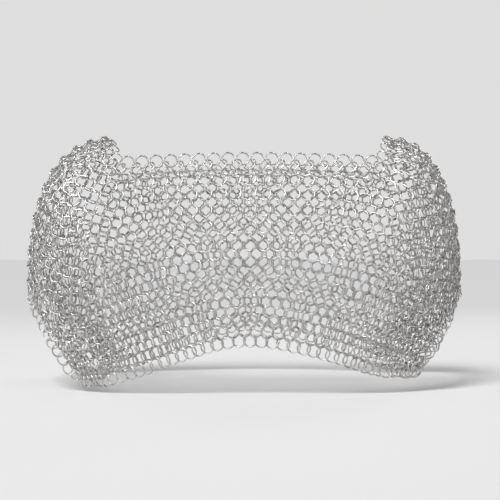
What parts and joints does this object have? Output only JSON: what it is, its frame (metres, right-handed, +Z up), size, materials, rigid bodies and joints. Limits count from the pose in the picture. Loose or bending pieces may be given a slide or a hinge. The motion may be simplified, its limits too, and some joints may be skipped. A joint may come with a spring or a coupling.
{
  "type": "chainmail shirt",
  "caption": "Short shoulder mantle of linked metal rings, one rectangular sheet with a neck slot, draped over both shoulders, free rings along the neck edge.",
  "frame": {"origin": "top of the shoulders, in the middle of the neck opening, where the wearer carries the mail", "axes": "+X across the shoulders, -Y is the back (the side in the picture), +Y the chest, +Z up"},
  "size_m": [0.4295, 0.2214, 0.2429],
  "materials": {
    "mail": "bright drawn wire rings, lightly tumbled",
    "edge_rings": "bright drawn wire rings, lightly tumbled",
    "free_rings": "bright drawn wire rings, lightly tumbled"
  },
  "bodies": {
    "mantle": {"back_centre": "mail", "back_left": "mail", "back_right": "mail", "front_centre": "mail", "front_left": "mail", "front_right": "mail", "hem_back_rings": "edge_rings", "hem_front_rings": "edge_rings", "neck_front_rings": "edge_rings", "neck_left_rings": "edge_rings", "neck_right_rings": "edge_rings", "shoulder_left": "mail", "shoulder_right": "mail", "sleeve_left": "mail", "sleeve_left_rings": "edge_rings", "sleeve_right": "mail", "sleeve_right_rings": "edge_rings"},
    "corner_back_left": {"corner_back_left": "mail", "corner_back_left_hem_rings": "edge_rings", "corner_back_left_edge_rings": "edge_rings"},
    "corner_back_right": {"corner_back_right": "mail", "corner_back_right_hem_rings": "edge_rings", "corner_back_right_edge_rings": "edge_rings"},
    "corner_front_left": {"corner_front_left": "mail", "corner_front_left_hem_rings": "edge_rings", "corner_front_left_edge_rings": "edge_rings"},
    "corner_front_right": {"corner_front_right": "mail", "corner_front_right_hem_rings": "edge_rings", "corner_front_right_edge_rings": "edge_rings"},
    "neck_back_ring_01": {"neck_back_ring_01": "free_rings"},
    "neck_back_ring_02": {"neck_back_ring_02": "free_rings"},
    "neck_back_ring_03": {"neck_back_ring_03": "free_rings"},
    "neck_back_ring_04": {"neck_back_ring_04": "free_rings"},
    "neck_back_ring_05": {"neck_back_ring_05": "free_rings"},
    "neck_back_ring_06": {"neck_back_ring_06": "free_rings"},
    "neck_back_ring_07": {"neck_back_ring_07": "free_rings"},
    "neck_back_ring_08": {"neck_back_ring_08": "free_rings"},
    "neck_back_ring_09": {"neck_back_ring_09": "free_rings"},
    "neck_back_ring_10": {"neck_back_ring_10": "free_rings"},
    "neck_back_ring_11": {"neck_back_ring_11": "free_rings"},
    "neck_back_ring_12": {"neck_back_ring_12": "free_rings"},
    "neck_back_ring_13": {"neck_back_ring_13": "free_rings"},
    "neck_back_ring_14": {"neck_back_ring_14": "free_rings"},
    "neck_back_ring_15": {"neck_back_ring_15": "free_rings"},
    "neck_back_ring_16": {"neck_back_ring_16": "free_rings"},
    "neck_back_ring_17": {"neck_back_ring_17": "free_rings"},
    "neck_back_ring_18": {"neck_back_ring_18": "free_rings"}
  },
  "joints": [
    {"name": "corner_back_left_fold", "type": "hinge", "parent": "mantle", "child": "corner_back_left", "pos_m": [-0.1639, -0.08556, -0.20788], "axis": [-0.7423, 0.3099, 0.5941], "range_deg": [-26, 26]},
    {"name": "corner_back_right_fold", "type": "hinge", "parent": "mantle", "child": "corner_back_right", "pos_m": [0.15902, -0.08713, -0.20105], "axis": [-0.7394, -0.3261, -0.589], "range_deg": [-26, 26]},
    {"name": "corner_front_left_fold", "type": "hinge", "parent": "mantle", "child": "corner_front_left", "pos_m": [-0.16389, 0.08254, -0.20788], "axis": [0.7448, 0.2999, -0.5961], "range_deg": [-26, 26]},
    {"name": "corner_front_right_fold", "type": "hinge", "parent": "mantle", "child": "corner_front_right", "pos_m": [0.159, 0.08406, -0.20105], "axis": [0.7422, -0.3156, 0.5912], "range_deg": [-26, 26]},
    {"name": "neck_back_ring_01_swing", "type": "hinge", "parent": "mantle", "child": "neck_back_ring_01", "pos_m": [-0.11741, -0.0627, -0.03348], "axis": [0.998, -0.0445, 0.0439], "range_deg": [0, 138]},
    {"name": "neck_back_ring_02_swing", "type": "hinge", "parent": "mantle", "child": "neck_back_ring_02", "pos_m": [-0.10364, -0.06318, -0.0329], "axis": [0.9982, -0.0369, 0.0462], "range_deg": [0, 138]},
    {"name": "neck_back_ring_03_swing", "type": "hinge", "parent": "mantle", "child": "neck_back_ring_03", "pos_m": [-0.08987, -0.06356, -0.03231], "axis": [0.9984, -0.0295, 0.0472], "range_deg": [0, 138]},
    {"name": "neck_back_ring_04_swing", "type": "hinge", "parent": "mantle", "child": "neck_back_ring_04", "pos_m": [-0.07609, -0.06385, -0.0317], "axis": [0.9987, -0.0225, 0.0465], "range_deg": [0, 138]},
    {"name": "neck_back_ring_05_swing", "type": "hinge", "parent": "mantle", "child": "neck_back_ring_05", "pos_m": [-0.0623, -0.06405, -0.03112], "axis": [0.9989, -0.016, 0.0437], "range_deg": [0, 138]},
    {"name": "neck_back_ring_06_swing", "type": "hinge", "parent": "mantle", "child": "neck_back_ring_06", "pos_m": [-0.04849, -0.06418, -0.03059], "axis": [0.9992, -0.0103, 0.0387], "range_deg": [0, 138]},
    {"name": "neck_back_ring_07_swing", "type": "hinge", "parent": "mantle", "child": "neck_back_ring_07", "pos_m": [-0.03466, -0.06424, -0.03013], "axis": [0.9995, -0.0056, 0.0313], "range_deg": [0, 138]},
    {"name": "neck_back_ring_08_swing", "type": "hinge", "parent": "mantle", "child": "neck_back_ring_08", "pos_m": [-0.02081, -0.06426, -0.02978], "axis": [0.9998, -0.0021, 0.0212], "range_deg": [0, 138]},
    {"name": "neck_back_ring_09_swing", "type": "hinge", "parent": "mantle", "child": "neck_back_ring_09", "pos_m": [-0.00695, -0.06426, -0.02958], "axis": [1, -0.0002, 0.0081], "range_deg": [0, 138]},
    {"name": "neck_back_ring_10_swing", "type": "hinge", "parent": "mantle", "child": "neck_back_ring_10", "pos_m": [0.00694, -0.06426, -0.02958], "axis": [1, 0.0003, -0.0069], "range_deg": [0, 138]},
    {"name": "neck_back_ring_11_swing", "type": "hinge", "parent": "mantle", "child": "neck_back_ring_11", "pos_m": [0.02079, -0.06426, -0.02973], "axis": [0.9999, 0.0021, -0.017], "range_deg": [0, 138]},
    {"name": "neck_back_ring_12_swing", "type": "hinge", "parent": "mantle", "child": "neck_back_ring_12", "pos_m": [0.03462, -0.06423, -0.03], "axis": [0.9997, 0.0055, -0.0248], "range_deg": [0, 138]},
    {"name": "neck_back_ring_13_swing", "type": "hinge", "parent": "mantle", "child": "neck_back_ring_13", "pos_m": [0.04844, -0.06417, -0.03036], "axis": [0.9995, 0.01, -0.0305], "range_deg": [0, 138]},
    {"name": "neck_back_ring_14_swing", "type": "hinge", "parent": "mantle", "child": "neck_back_ring_14", "pos_m": [0.06224, -0.06404, -0.03077], "axis": [0.9993, 0.0155, -0.0343], "range_deg": [0, 138]},
    {"name": "neck_back_ring_15_swing", "type": "hinge", "parent": "mantle", "child": "neck_back_ring_15", "pos_m": [0.07603, -0.06384, -0.03122], "axis": [0.9991, 0.0217, -0.0363], "range_deg": [0, 138]},
    {"name": "neck_back_ring_16_swing", "type": "hinge", "parent": "mantle", "child": "neck_back_ring_16", "pos_m": [0.08981, -0.06356, -0.03169], "axis": [0.9989, 0.0284, -0.0368], "range_deg": [0, 138]},
    {"name": "neck_back_ring_17_swing", "type": "hinge", "parent": "mantle", "child": "neck_back_ring_17", "pos_m": [0.10358, -0.06319, -0.03215], "axis": [0.9987, 0.0353, -0.036], "range_deg": [0, 138]},
    {"name": "neck_back_ring_18_swing", "type": "hinge", "parent": "mantle", "child": "neck_back_ring_18", "pos_m": [0.11735, -0.06273, -0.03259], "axis": [0.9985, 0.0425, -0.0341], "range_deg": [0, 138]}
  ]
}
